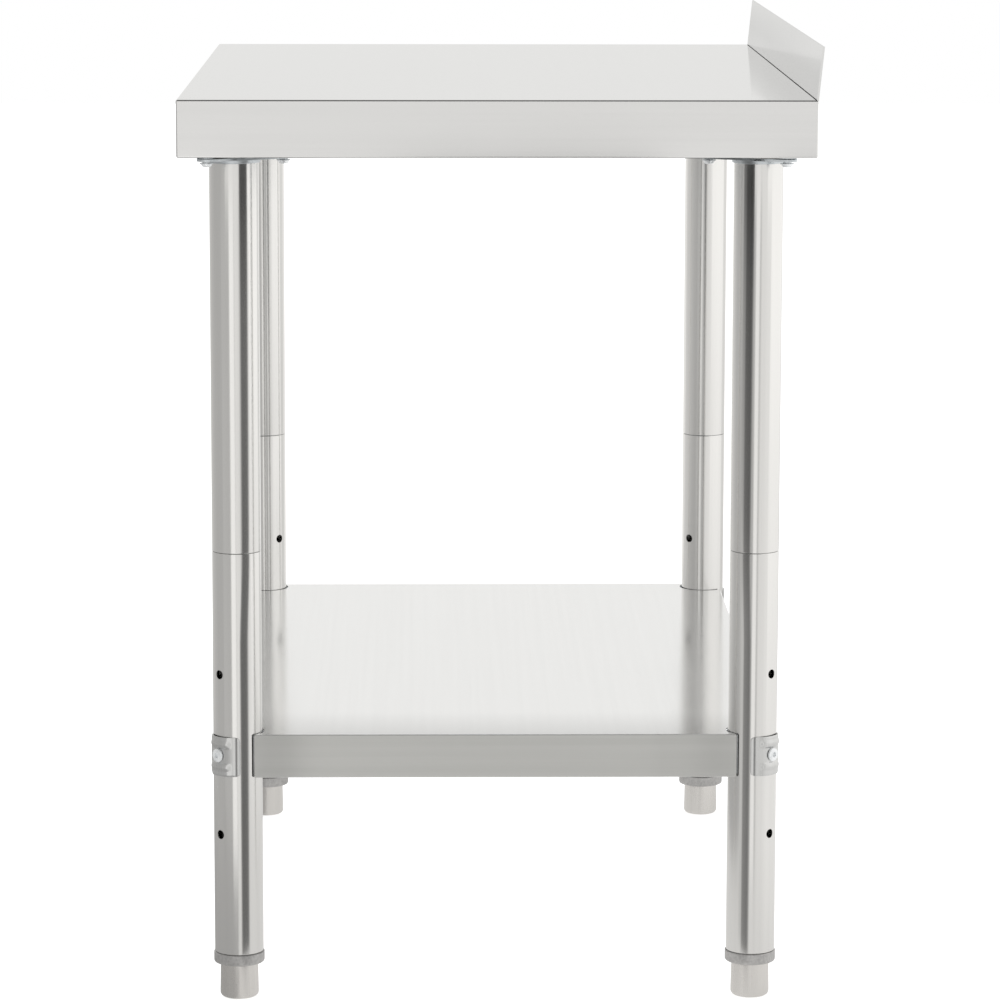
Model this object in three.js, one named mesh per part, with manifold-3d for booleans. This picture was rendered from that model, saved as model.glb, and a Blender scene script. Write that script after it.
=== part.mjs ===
// Stainless work table with a rear upstand, an adjustable undershelf and levelling feet.
// Millimetres, +Z up, floor at Z 0. The length runs along X, the front is -Y and the upstand is at +Y.
import * as THREE from "three";
import { mergeVertices } from "three/addons/utils/BufferGeometryUtils.js";
import Module from "manifold-3d";

// Table top
const LENGTH = 914;
const DEPTH = 610;
const WORK_HEIGHT = 890.5;
const APRON_HEIGHT = 55.2;
const TOP_SHEET = 1;
const TOP_EDGE_RADIUS = 1.6;
const TOP_LIP = 9.5;
const UPSTAND_HEIGHT = 51;
const UPSTAND_LEAN = 5;
const UPSTAND_THICKNESS = 2;

// Channels under the top
const CHANNEL_SHEET = 1.2;
const CHANNEL_LIP = 20;
const CROSS_CHANNEL_WIDTH = 100;
const CROSS_CHANNEL_DROP = 0.6;
const STAND_OFF_HEIGHT = 1.2;
const STAND_OFF_RADIUS = 9;
const MIDDLE_CHANNEL_WIDTH = 80;
const MIDDLE_CHANNEL_DEPTH = 38;

// Legs
const LEG_RADIUS = 24;
const LEG_WALL = 1;
const LEG_INSET_X = 61;
const LEG_INSET_Y = 52;
const LEG_JOINT_HEIGHT = 447.5;
const SLEEVE_LENGTH = 70;
const SLEEVE_WALL = 1.5;

// Leg flanges and their bolts
const FLANGE_THICKNESS = 2.5;
const FLANGE_CORNER_RADIUS = 9.5;
const COLLAR_HEIGHT = 4;
const COLLAR_WALL = 1.6;
const BOLT_CIRCLE_RADIUS = 48;
const BOLTS_PER_LEG = 3;
const BOLT_RADIUS = 3;
const BOLT_LENGTH = 16;
const BOLT_WASHER_RADIUS = 4;
const BOLT_WASHER_THICKNESS = 1.2;
const BOLT_RIM_RADIUS = 6.8;
const BOLT_RIM_THICKNESS = 1;
const BOLT_HEAD_RADIUS = 5.4;
const BOLT_HEAD_HEIGHT = 4;
const BOLT_SOCKET_RADIUS = 2.3;
const BOLT_SOCKET_DEPTH = 2;
const WELD_NUT_RADIUS = 6.5;
const WELD_NUT_HEIGHT = 5;

// Undershelf
const SHELF_TOP = 267.5;
const SHELF_HEIGHT = 43;
const SHELF_SHEET = 0.9;
const SHELF_EDGE_RADIUS = 2;
const SHELF_LIP = 10;
const SHELF_OVERHANG = 20;
const SHELF_CHANNEL_WIDTH = 80;
const SHELF_CHANNEL_DEPTH = 24;
const SHELF_CHANNEL_LENGTH = 720;

// Shelf clamps: an outer saddle, an inner bracket and a screw through the leg
const HOLE_HEIGHTS = [167, 247, 327];
const CLAMP_HEIGHT = HOLE_HEIGHTS[1];
const HOLE_RADIUS = 4.5;
const CLAMP_SHEET = 1.4;
const CLAMP_CLEARANCE = 0.4;
const SADDLE_HEIGHT = 39;
const SADDLE_DROP = 1;
const SADDLE_WIDTH = 39.4;
const SADDLE_CORNER = 4;
const RIDGE_WIDTH = 27.4;
const RIDGE_HEIGHT = 7;
const RIDGE_RISE = 2;
const RIDGE_SPACING = 22;
const BRACKET_WING = 34;
const CLAMP_NUT_RADIUS = 8;
const CLAMP_NUT_HEIGHT = 7;
const SCREW_RADIUS = 3.9;
const SCREW_HEAD_RADIUS = 6.6;
const SCREW_HEAD_HEIGHT = 2.6;
const SOCKET_RADIUS = 2.9;
const SOCKET_DEPTH = 1.8;

// Levelling feet
const CUP_HEIGHT = 34.8;
const CUP_BOTTOM_RADIUS = 19;
const CUP_TOP_RADIUS = 18.4;
const CUP_BOTTOM_ROUND = 4.5;
const RING_HEIGHT = 11;
const RING_RADIUS = 25;
const RING_CHAMFER = 1.6;
const PLUG_HEIGHT = 30;
const STEM_RADIUS = 6;
const STEM_IN_CUP = 14;
const STEM_ABOVE_RING = 34;

// Fits and smoothness
const GAP = 0.3;
const TUBE_SIDES = 32;
const SMALL_SIDES = 16;
const HOLE_SIDES = 8;
const QUARTER_TURN = Math.PI / 2;

// Derived levels and places
const APRON_BOTTOM = WORK_HEIGHT - APRON_HEIGHT;
const TOP_UNDERSIDE = WORK_HEIGHT - TOP_SHEET;
const CROSS_CHANNEL_BOTTOM = APRON_BOTTOM - CROSS_CHANNEL_DROP;
const FLANGE_TOP = CROSS_CHANNEL_BOTTOM - STAND_OFF_HEIGHT - GAP;
const FLANGE_BOTTOM = FLANGE_TOP - FLANGE_THICKNESS;
const LEG_BORE = LEG_RADIUS - LEG_WALL;
const LEG_X = LENGTH / 2 - LEG_INSET_X;
const LEG_Y = DEPTH / 2 - LEG_INSET_Y;
const RING_BOTTOM = CUP_HEIGHT + GAP;
const RING_TOP = RING_BOTTOM + RING_HEIGHT;
const CLAMP_BORE = LEG_RADIUS + CLAMP_CLEARANCE;
const CLAMP_RADIUS = CLAMP_BORE + CLAMP_SHEET;
const NOTCH_RADIUS = CLAMP_RADIUS + GAP;
const CORNERS = [
  { name: "front_left", x: -1, y: -1, turn: 2 },
  { name: "front_right", x: 1, y: -1, turn: 3 },
  { name: "rear_right", x: 1, y: 1, turn: 0 },
  { name: "rear_left", x: -1, y: 1, turn: 1 },
];

// Finishes
const SATIN_STEEL = { color: 0xd9d9d6, roughness: 0.28, metalness: 1 };
const BRUSHED_TUBE = { color: 0xcfcfcb, roughness: 0.32, metalness: 1 };
const GALVANISED = { color: 0xb9bfc3, roughness: 0.45, metalness: 1 };
const ZINC_PLATED = { color: 0xc4c7ca, roughness: 0.3, metalness: 1 };
const CAST_GREY = { color: 0x8f9090, roughness: 0.6, metalness: 0.6 };

const wasm = await Module();
wasm.setup();

// Turns a closed three.js geometry into a solid that can be joined and cut.
function solid(geometry) {
  geometry.deleteAttribute("normal");
  geometry.deleteAttribute("uv");
  const merged = mergeVertices(geometry, 1e-4);
  return new wasm.Manifold(
    new wasm.Mesh({
      numProp: 3,
      vertProperties: merged.attributes.position.array,
      triVerts: new Uint32Array(merged.index.array),
    }),
  );
}

// Turns a solid back into a three.js geometry.
function geometryOf(shape) {
  const { vertProperties, triVerts } = shape.getMesh();
  const geometry = new THREE.BufferGeometry();
  geometry.setAttribute("position", new THREE.BufferAttribute(vertProperties, 3));
  geometry.setIndex(new THREE.BufferAttribute(triVerts, 1));
  geometry.computeVertexNormals();
  return geometry;
}

// A box between two corners.
function block([x0, y0, z0], [x1, y1, z1]) {
  const box = new THREE.BoxGeometry(x1 - x0, y1 - y0, z1 - z0);
  return solid(box.translate((x0 + x1) / 2, (y0 + y1) / 2, (z0 + z1) / 2));
}

// A box centred on the Z axis, from one height to another.
function slab(length, depth, bottom, top) {
  return block([-length / 2, -depth / 2, bottom], [length / 2, depth / 2, top]);
}

// An upright cylinder about the Z axis.
function rod(radius, bottom, top, sides = SMALL_SIDES) {
  const cylinder = new THREE.CylinderGeometry(radius, radius, top - bottom, sides);
  return solid(cylinder.rotateX(QUARTER_TURN).translate(0, 0, (bottom + top) / 2));
}

// An upright tube about the Z axis.
function pipe(outer, inner, bottom, top, sides = TUBE_SIDES) {
  return rod(outer, bottom, top, sides).subtract(rod(inner, bottom - 1, top + 1, sides));
}

// A body of revolution about the Z axis, from [radius, height] points that start and end on the axis.
function turned(points, sides = TUBE_SIDES) {
  const profile = points.map(([radius, height]) => new THREE.Vector2(radius, height));
  return solid(new THREE.LatheGeometry(profile, sides).rotateX(QUARTER_TURN));
}

// A prism from an outline of [x, y] points, upright from one height to another.
function prism(outline, bottom, top) {
  const shape = new THREE.Shape(outline.map(([x, y]) => new THREE.Vector2(x, y)));
  const options = { depth: top - bottom, bevelEnabled: false };
  return solid(new THREE.ExtrudeGeometry(shape, options).translate(0, 0, bottom));
}

// A prism whose outline lies in the YZ plane and which runs along X between two places.
function prismAlongX(outline, start, end) {
  return prism(outline, start, end).rotate([90, 0, 90]);
}

// A rectangle with round corners, centred on the origin.
function roundedRectangle(width, height, radius) {
  const x = width / 2 - radius;
  const y = height / 2 - radius;
  const shape = new THREE.Shape();
  shape.absarc(x, y, radius, 0, QUARTER_TURN);
  shape.absarc(-x, y, radius, QUARTER_TURN, 2 * QUARTER_TURN);
  shape.absarc(-x, -y, radius, 2 * QUARTER_TURN, 3 * QUARTER_TURN);
  shape.absarc(x, -y, radius, 3 * QUARTER_TURN, 4 * QUARTER_TURN);
  shape.closePath();
  return shape;
}

// A folded sheet pan, open below: rounded top edges, four walls and an inward lip at the bottom.
function foldedPan(length, depth, bottom, top, sheet, radius, lip) {
  const cornerRadius = radius / 2;
  const inset = 2 * (radius - cornerRadius);
  const outline = roundedRectangle(length - inset, depth - inset, cornerRadius);
  const height = top - bottom;
  const options = {
    depth: height,
    bevelThickness: radius,
    bevelSize: radius - cornerRadius,
    bevelSegments: 3,
    curveSegments: 2,
  };
  const outside = new THREE.ExtrudeGeometry(outline, options).translate(0, 0, bottom - radius);
  const trimmed = solid(outside).intersect(slab(2 * length, 2 * depth, bottom, top + 1));
  const inside = slab(length - 2 * sheet, depth - 2 * sheet, bottom + sheet, top - sheet);
  const mouth = slab(length - 2 * lip, depth - 2 * lip, bottom - 1, bottom + 2 * sheet);
  return trimmed.subtract(inside).subtract(mouth);
}

// A lipped channel along X: a web at the bottom, two walls and two inward lips at the top.
function channelAlongX(width, length, bottom, top, lip) {
  const section = [
    [-width / 2, bottom],
    [width / 2, bottom],
    [width / 2, top],
    [width / 2 - lip, top],
    [width / 2 - lip, top - CHANNEL_SHEET],
    [width / 2 - CHANNEL_SHEET, top - CHANNEL_SHEET],
    [width / 2 - CHANNEL_SHEET, bottom + CHANNEL_SHEET],
    [-width / 2 + CHANNEL_SHEET, bottom + CHANNEL_SHEET],
    [-width / 2 + CHANNEL_SHEET, top - CHANNEL_SHEET],
    [-width / 2 + lip, top - CHANNEL_SHEET],
    [-width / 2 + lip, top],
    [-width / 2, top],
  ];
  return prismAlongX(section, -length / 2, length / 2);
}

// The bolt places of one leg, about the leg's axis: one inboard along Y, the others a third of a turn on.
function boltPlaces(side) {
  const inboard = -side * QUARTER_TURN;
  return Array.from({ length: BOLTS_PER_LEG }, (_, i) => {
    const angle = inboard + (i * 2 * Math.PI) / BOLTS_PER_LEG;
    return [BOLT_CIRCLE_RADIUS * Math.cos(angle), BOLT_CIRCLE_RADIUS * Math.sin(angle)];
  });
}

function tableTop() {
  const pan = foldedPan(
    LENGTH,
    DEPTH,
    APRON_BOTTOM,
    WORK_HEIGHT,
    TOP_SHEET,
    TOP_EDGE_RADIUS,
    TOP_LIP,
  );
  const outer = DEPTH / 2;
  const inner = outer - UPSTAND_THICKNESS;
  const crown = WORK_HEIGHT + UPSTAND_HEIGHT;
  const hem = UPSTAND_THICKNESS / 2;
  const upstand = [
    [inner, TOP_UNDERSIDE],
    [outer, TOP_UNDERSIDE],
    [outer, WORK_HEIGHT],
    [outer + UPSTAND_LEAN, crown - hem],
    [outer + UPSTAND_LEAN - hem / 4, crown - hem / 4],
    [outer + UPSTAND_LEAN - hem, crown],
    [inner + UPSTAND_LEAN + hem / 4, crown - hem / 4],
    [inner + UPSTAND_LEAN, crown - hem],
    [inner, WORK_HEIGHT],
  ];
  const end = LENGTH / 2 - TOP_EDGE_RADIUS / 2;
  return pan.add(prismAlongX(upstand, -end, end));
}

// A channel across the top, with a weld nut above and a round stand-off below at each bolt.
function crossChannel() {
  const length = DEPTH - 2 * TOP_LIP - 2 * GAP;
  const top = TOP_UNDERSIDE - GAP;
  const lip = CHANNEL_LIP;
  const bare = channelAlongX(CROSS_CHANNEL_WIDTH, length, CROSS_CHANNEL_BOTTOM, top, lip);
  let channel = bare.rotate([0, 0, 90]);
  const web = CROSS_CHANNEL_BOTTOM + CHANNEL_SHEET / 2;
  const nutTop = CROSS_CHANNEL_BOTTOM + CHANNEL_SHEET + WELD_NUT_HEIGHT;
  const padBottom = CROSS_CHANNEL_BOTTOM - STAND_OFF_HEIGHT;
  for (const side of [-1, 1]) {
    for (const [x, y] of boltPlaces(side)) {
      const place = [x, side * LEG_Y + y, 0];
      const nut = rod(WELD_NUT_RADIUS, web, nutTop, 6);
      const pad = rod(STAND_OFF_RADIUS, padBottom, web);
      const hole = rod(BOLT_RADIUS + GAP, padBottom - 1, nutTop + 1, HOLE_SIDES);
      channel = channel.add(nut.add(pad).translate(place)).subtract(hole.translate(place));
    }
  }
  return channel;
}

function middleChannel() {
  const length = 2 * LEG_X - CROSS_CHANNEL_WIDTH - 2 * GAP;
  const top = TOP_UNDERSIDE - GAP;
  const bottom = top - MIDDLE_CHANNEL_DEPTH;
  return channelAlongX(MIDDLE_CHANNEL_WIDTH, length, bottom, top, CHANNEL_LIP);
}

// The triangular plate that is welded to the top of a leg, with a short collar below it.
function legFlange(side) {
  const outline = new THREE.Shape();
  for (const [x, y] of boltPlaces(side)) {
    const angle = Math.atan2(y, x);
    const spread = Math.PI / BOLTS_PER_LEG;
    outline.absarc(x, y, FLANGE_CORNER_RADIUS, angle - spread, angle + spread);
  }
  outline.closePath();
  const options = { depth: FLANGE_THICKNESS, bevelEnabled: false, curveSegments: 3 };
  const plate = solid(new THREE.ExtrudeGeometry(outline, options).translate(0, 0, FLANGE_BOTTOM));
  const bore = LEG_RADIUS + GAP;
  const collarBottom = FLANGE_BOTTOM - COLLAR_HEIGHT;
  const collar = rod(bore + COLLAR_WALL, collarBottom, FLANGE_TOP, TUBE_SIDES);
  let flange = plate.add(collar).subtract(rod(bore, collarBottom - 1, FLANGE_TOP + 1, TUBE_SIDES));
  for (const [x, y] of boltPlaces(side)) {
    const hole = rod(BOLT_RADIUS + GAP, FLANGE_BOTTOM - 1, FLANGE_TOP + 1, HOLE_SIDES);
    flange = flange.subtract(hole.translate([x, y, 0]));
  }
  return flange;
}

// A button-head bolt with a wide rim and a lock washer, upright with its hexagon socket below.
function flangeBolt() {
  const washerTop = FLANGE_BOTTOM - GAP;
  const seat = washerTop - BOLT_WASHER_THICKNESS;
  const rim = seat - BOLT_RIM_THICKNESS;
  const crown = seat - BOLT_HEAD_HEIGHT;
  const head = turned(
    [
      [0, crown],
      [0.65 * BOLT_HEAD_RADIUS, crown],
      [BOLT_HEAD_RADIUS, (rim + crown) / 2],
      [BOLT_HEAD_RADIUS, rim],
      [BOLT_RIM_RADIUS, rim],
      [BOLT_RIM_RADIUS, seat],
      [0, seat],
    ],
    SMALL_SIDES,
  );
  const washer = rod(BOLT_WASHER_RADIUS, seat - 0.1, washerTop);
  const shank = rod(BOLT_RADIUS, crown + BOLT_SOCKET_DEPTH + 1, seat + BOLT_LENGTH, HOLE_SIDES);
  const socket = rod(BOLT_SOCKET_RADIUS, crown - 1, crown + BOLT_SOCKET_DEPTH, 6);
  return head.add(washer).add(shank).subtract(socket);
}

// A cylinder along the outward diagonal of a leg, between two distances from the leg's axis.
function diagonalRod(radius, start, end, height, sides = HOLE_SIDES) {
  return rod(radius, start, end, sides).rotate([0, 90, 45]).translate([0, 0, height]);
}

function legUpper() {
  return pipe(LEG_RADIUS, LEG_BORE, LEG_JOINT_HEIGHT + GAP / 2, FLANGE_TOP);
}

function legLower() {
  let tube = pipe(LEG_RADIUS, LEG_BORE, RING_TOP + GAP, LEG_JOINT_HEIGHT - GAP / 2);
  for (const height of HOLE_HEIGHTS) {
    tube = tube.subtract(diagonalRod(HOLE_RADIUS, -2 * LEG_RADIUS, 2 * LEG_RADIUS, height));
  }
  return tube;
}

function legSleeve() {
  const outer = LEG_BORE - GAP;
  const bottom = LEG_JOINT_HEIGHT - SLEEVE_LENGTH / 2;
  return pipe(outer, outer - SLEEVE_WALL, bottom, bottom + SLEEVE_LENGTH, SMALL_SIDES);
}

// The cast ring at the bottom of a leg, with a threaded plug inside the tube.
function footSocket() {
  const plug = LEG_BORE - GAP;
  const body = turned([
    [0, RING_BOTTOM],
    [RING_RADIUS - RING_CHAMFER, RING_BOTTOM],
    [RING_RADIUS, RING_BOTTOM + RING_CHAMFER],
    [RING_RADIUS, RING_TOP - RING_CHAMFER / 3],
    [RING_RADIUS - RING_CHAMFER / 3, RING_TOP],
    [plug, RING_TOP],
    [plug, RING_TOP + PLUG_HEIGHT],
    [0, RING_TOP + PLUG_HEIGHT],
  ]);
  const bore = rod(STEM_RADIUS + GAP, RING_BOTTOM - 1, RING_TOP + PLUG_HEIGHT + 1, SMALL_SIDES);
  return body.subtract(bore);
}

function footStem() {
  return rod(STEM_RADIUS, CUP_HEIGHT - STEM_IN_CUP, RING_TOP + STEM_ABOVE_RING, SMALL_SIDES);
}

// The cup that stands on the floor, with a round lower edge and a blind bore for the stem.
function footCup() {
  const steps = 3;
  const round = Array.from({ length: steps + 1 }, (_, i) => {
    const angle = (i / steps) * QUARTER_TURN;
    const radius = CUP_BOTTOM_RADIUS - CUP_BOTTOM_ROUND * (1 - Math.sin(angle));
    return [radius, CUP_BOTTOM_ROUND * (1 - Math.cos(angle))];
  });
  const topRound = 0.8;
  const body = turned([
    [0, 0],
    ...round,
    [CUP_TOP_RADIUS, CUP_HEIGHT - topRound],
    [CUP_TOP_RADIUS - topRound, CUP_HEIGHT],
    [0, CUP_HEIGHT],
  ]);
  const bottom = CUP_HEIGHT - STEM_IN_CUP - GAP;
  return body.subtract(rod(STEM_RADIUS + GAP, bottom, CUP_HEIGHT + 1, SMALL_SIDES));
}

// The shelf is a folded pan whose corners are cut away round the legs.
function undershelf() {
  let pan = foldedPan(
    2 * (LEG_X + SHELF_OVERHANG),
    2 * (LEG_Y + SHELF_OVERHANG),
    SHELF_TOP - SHELF_HEIGHT,
    SHELF_TOP,
    SHELF_SHEET,
    SHELF_EDGE_RADIUS,
    SHELF_LIP,
  );
  const bottom = SHELF_TOP - SHELF_HEIGHT - 1;
  const top = SHELF_TOP + 1;
  const reach = SHELF_OVERHANG + 5;
  for (const corner of CORNERS) {
    const round = rod(NOTCH_RADIUS, bottom, top, TUBE_SIDES);
    const mouth = block([0, 0, bottom], [reach, reach, top]).rotate([0, 0, 90 * corner.turn]);
    pan = pan.subtract(round.add(mouth).translate([corner.x * LEG_X, corner.y * LEG_Y, 0]));
  }
  return pan;
}

function shelfChannel() {
  const top = SHELF_TOP - SHELF_SHEET - GAP;
  const bottom = top - SHELF_CHANNEL_DEPTH;
  const lip = CHANNEL_LIP / 2;
  return channelAlongX(SHELF_CHANNEL_WIDTH, SHELF_CHANNEL_LENGTH, bottom, top, lip);
}

// A block with round corners that faces the outward diagonal of a leg.
function diagonalPad(width, height, radius, level) {
  const options = { depth: 2 * LEG_RADIUS, bevelEnabled: false, curveSegments: 3 };
  const pad = solid(new THREE.ExtrudeGeometry(roundedRectangle(height, width, radius), options));
  return pad.rotate([0, 90, 45]).translate([0, 0, level]);
}

// The pressed outer half of a shelf clamp: a curved plate with two raised ridges.
function shelfSaddle() {
  const bottom = CLAMP_HEIGHT - SADDLE_HEIGHT;
  const top = CLAMP_HEIGHT + SADDLE_HEIGHT;
  const middle = CLAMP_HEIGHT - SADDLE_DROP;
  const outline = diagonalPad(SADDLE_WIDTH, SADDLE_HEIGHT, SADDLE_CORNER, middle);
  let saddle = pipe(CLAMP_RADIUS, CLAMP_BORE, bottom, top).intersect(outline);
  const shell = pipe(CLAMP_RADIUS + RIDGE_RISE, CLAMP_BORE + CLAMP_SHEET / 2, bottom, top);
  for (const side of [-1, 1]) {
    const level = CLAMP_HEIGHT + (side * RIDGE_SPACING) / 2;
    const ridge = diagonalPad(RIDGE_WIDTH, RIDGE_HEIGHT, RIDGE_HEIGHT / 2 - 0.1, level);
    saddle = saddle.add(shell.intersect(ridge));
  }
  return saddle.subtract(diagonalRod(HOLE_RADIUS, 0, 2 * LEG_RADIUS, CLAMP_HEIGHT));
}

// The inner half of a shelf clamp: a curved plate with a wing along each shelf wall and a weld nut.
function shelfBracket() {
  const bottom = SHELF_TOP - SHELF_HEIGHT + SHELF_SHEET + 2;
  const top = SHELF_TOP - SHELF_SHEET - GAP;
  const reach = 2 * LEG_RADIUS;
  const inboard = block([-reach, -reach, bottom], [CLAMP_SHEET, reach, top]);
  const wingOuter = SHELF_OVERHANG - SHELF_SHEET - GAP;
  const wingInner = wingOuter - CLAMP_SHEET;
  const start = -Math.sqrt(CLAMP_BORE ** 2 - wingInner ** 2) - 0.5;
  const end = start - BRACKET_WING;
  const nut = diagonalRod(
    CLAMP_NUT_RADIUS,
    -CLAMP_RADIUS - CLAMP_NUT_HEIGHT,
    -CLAMP_RADIUS + CLAMP_SHEET / 2,
    CLAMP_HEIGHT,
    6,
  );
  return pipe(CLAMP_RADIUS, CLAMP_BORE, bottom, top)
    .intersect(inboard.rotate([0, 0, 45]))
    .add(block([wingInner, end, bottom], [wingOuter, start, top]))
    .add(block([end, wingInner, bottom], [start, wingOuter, top]))
    .add(nut)
    .subtract(diagonalRod(HOLE_RADIUS, -2.5 * LEG_RADIUS, 0, CLAMP_HEIGHT));
}

// A button-head screw along the outward diagonal of a leg, with a hexagon socket in its head.
function shelfScrew() {
  const seat = CLAMP_RADIUS + GAP;
  const crown = seat + SCREW_HEAD_HEIGHT;
  const head = turned(
    [
      [0, seat],
      [SCREW_HEAD_RADIUS, seat],
      [SCREW_HEAD_RADIUS, seat + 0.25 * SCREW_HEAD_HEIGHT],
      [0.85 * SCREW_HEAD_RADIUS, seat + 0.7 * SCREW_HEAD_HEIGHT],
      [0.55 * SCREW_HEAD_RADIUS, crown],
      [0, crown],
    ],
    SMALL_SIDES,
  );
  const shank = rod(SCREW_RADIUS, -CLAMP_RADIUS - CLAMP_NUT_HEIGHT, seat + 0.1, HOLE_SIDES);
  const socket = rod(SOCKET_RADIUS, crown - SOCKET_DEPTH, crown + 1, 6);
  const screw = head.add(shank).subtract(socket);
  return screw.rotate([0, 90, 45]).translate([0, 0, CLAMP_HEIGHT]);
}

const group = new THREE.Group();
// The upstand leans past the rear edge, so the origin under the middle of the whole table is shifted.
group.position.y = -UPSTAND_LEAN / 2;

// Adds a named piece with its own material, placed by its position and its quarter turns about Z.
function add(name, shape, finish, x = 0, y = 0, quarterTurns = 0) {
  const mesh = new THREE.Mesh(geometryOf(shape), new THREE.MeshStandardMaterial(finish));
  mesh.name = name;
  mesh.position.set(x, y, 0);
  mesh.rotation.z = quarterTurns * QUARTER_TURN;
  group.add(mesh);
}

add("table_top", tableTop(), SATIN_STEEL);
add("top_channel_middle", middleChannel(), GALVANISED);
add("top_channel_left", crossChannel(), GALVANISED, -LEG_X);
add("top_channel_right", crossChannel(), GALVANISED, LEG_X);
add("undershelf", undershelf(), SATIN_STEEL);
add("shelf_channel", shelfChannel(), GALVANISED);

for (const corner of CORNERS) {
  const x = corner.x * LEG_X;
  const y = corner.y * LEG_Y;
  add("leg_flange_" + corner.name, legFlange(corner.y), GALVANISED, x, y);
  boltPlaces(corner.y).forEach(([boltX, boltY], i) => {
    const name = "flange_bolt_" + corner.name + "_" + (i + 1);
    add(name, flangeBolt(), ZINC_PLATED, x + boltX, y + boltY);
  });
  add("leg_upper_" + corner.name, legUpper(), BRUSHED_TUBE, x, y);
  add("leg_lower_" + corner.name, legLower(), BRUSHED_TUBE, x, y, corner.turn);
  add("leg_sleeve_" + corner.name, legSleeve(), GALVANISED, x, y);
  add("foot_socket_" + corner.name, footSocket(), CAST_GREY, x, y);
  add("foot_stem_" + corner.name, footStem(), ZINC_PLATED, x, y);
  add("foot_cup_" + corner.name, footCup(), SATIN_STEEL, x, y);
  add("shelf_saddle_" + corner.name, shelfSaddle(), SATIN_STEEL, x, y, corner.turn);
  add("shelf_bracket_" + corner.name, shelfBracket(), GALVANISED, x, y, corner.turn);
  add("shelf_screw_" + corner.name, shelfScrew(), ZINC_PLATED, x, y, corner.turn);
}

export default group;
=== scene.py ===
import math

import bmesh
import bpy
from mathutils import Matrix, Vector


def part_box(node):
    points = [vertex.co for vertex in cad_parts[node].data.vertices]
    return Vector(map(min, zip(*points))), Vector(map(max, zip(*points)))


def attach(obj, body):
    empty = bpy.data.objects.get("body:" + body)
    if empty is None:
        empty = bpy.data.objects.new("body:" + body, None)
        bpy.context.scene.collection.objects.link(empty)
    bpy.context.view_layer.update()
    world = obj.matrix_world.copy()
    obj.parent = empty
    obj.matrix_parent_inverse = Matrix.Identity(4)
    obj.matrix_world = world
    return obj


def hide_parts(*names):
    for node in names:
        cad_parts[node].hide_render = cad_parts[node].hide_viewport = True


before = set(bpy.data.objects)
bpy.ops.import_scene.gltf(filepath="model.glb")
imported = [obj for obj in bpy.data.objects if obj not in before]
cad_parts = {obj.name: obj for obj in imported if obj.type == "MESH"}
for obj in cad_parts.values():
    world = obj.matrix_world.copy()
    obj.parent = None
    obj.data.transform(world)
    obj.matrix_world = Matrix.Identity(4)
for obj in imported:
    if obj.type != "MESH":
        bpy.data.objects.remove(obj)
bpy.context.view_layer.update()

MM = 0.001
# The signs of X and Y where each leg stands. The front is -Y, and the near end is +X.
CORNER_SIDES = {
    "front_left": (-1, -1),
    "front_right": (1, -1),
    "rear_left": (-1, 1),
    "rear_right": (1, 1),
}
# How many sides stand for a circle.
TUBE_SIDES = 112
RING_SIDES = 80
ROD_SIDES = 40
# Turns a prism that stands upright so that it runs along X, its outline in the YZ plane.
ALONG_X = Matrix(((0, 0, 1, 0), (1, 0, 0, 0), (0, 1, 0, 0), (0, 0, 0, 1)))
ALONG_Y = Matrix.Rotation(math.pi / 2, 4, "Z") @ ALONG_X
# Turns a piece that stands on Z so that it lies on the outward diagonal of the rear right leg.
DIAGONAL = Matrix.Rotation(math.pi / 4, 4, "Z") @ Matrix.Rotation(math.pi / 2, 4, "Y")

# Sizes that several pieces share. The other places come from the boxes of the CAD nodes.
LEG_RADIUS = 24 * MM
LEG_BORE = 23 * MM
CLAMP_HEIGHT = 247 * MM
HOLE_PITCH = 80 * MM
SCREW_HOLE = 4.5 * MM
BOLT_CIRCLE = 48 * MM
BOLT_HOLE = 3.3 * MM
STEM_HOLE = 6.3 * MM
# How far a cutting shape reaches past what it cuts.
PAST = 10 * MM


# ---------------------------------------------------------------- meshes

def arc(centre, radius, start, end, steps):
    """Points on an arc, from one angle to another, in degrees."""
    points = []
    for i in range(steps + 1):
        angle = math.radians(start + (end - start) * i / steps)
        points.append((centre[0] + radius * math.cos(angle), centre[1] + radius * math.sin(angle)))
    return points


def circle(radius, sides, start=0, centre=(0, 0)):
    """The corners of a regular polygon, the first one at the start angle."""
    return arc(centre, radius, start, start + 360 - 360 / sides, sides - 1)


def rounded(corners, steps=5):
    """An outline from (x, y, radius) corners, each corner turned into an arc."""
    outline = []
    count = len(corners)
    for i in range(count):
        x, y, radius = corners[i]
        here = Vector((x, y))
        before = (Vector(corners[i - 1][:2]) - here).normalized()
        after = (Vector(corners[(i + 1) % count][:2]) - here).normalized()
        if radius == 0:
            outline.append((x, y))
            continue
        half = before.angle(after) / 2
        reach = radius / math.tan(half)
        centre = here + (before + after).normalized() * (radius / math.sin(half))
        first = here + before * reach - centre
        last = here + after * reach - centre
        turn = first.angle_signed(last)
        for k in range(steps + 1):
            spoke = first.copy()
            spoke.rotate(Matrix.Rotation(-turn * k / steps, 2))
            outline.append(tuple(centre + spoke))
    return outline


def prism(outline, bottom, top):
    """A closed prism over an outline in the XY plane."""
    bm = bmesh.new()
    low = [bm.verts.new((x, y, bottom)) for x, y in outline]
    high = [bm.verts.new((x, y, top)) for x, y in outline]
    bm.faces.new(low)
    bm.faces.new(high)
    for i in range(len(outline)):
        j = (i + 1) % len(outline)
        bm.faces.new((low[i], low[j], high[j], high[i]))
    bmesh.ops.recalc_face_normals(bm, faces=bm.faces)
    return bm


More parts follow.
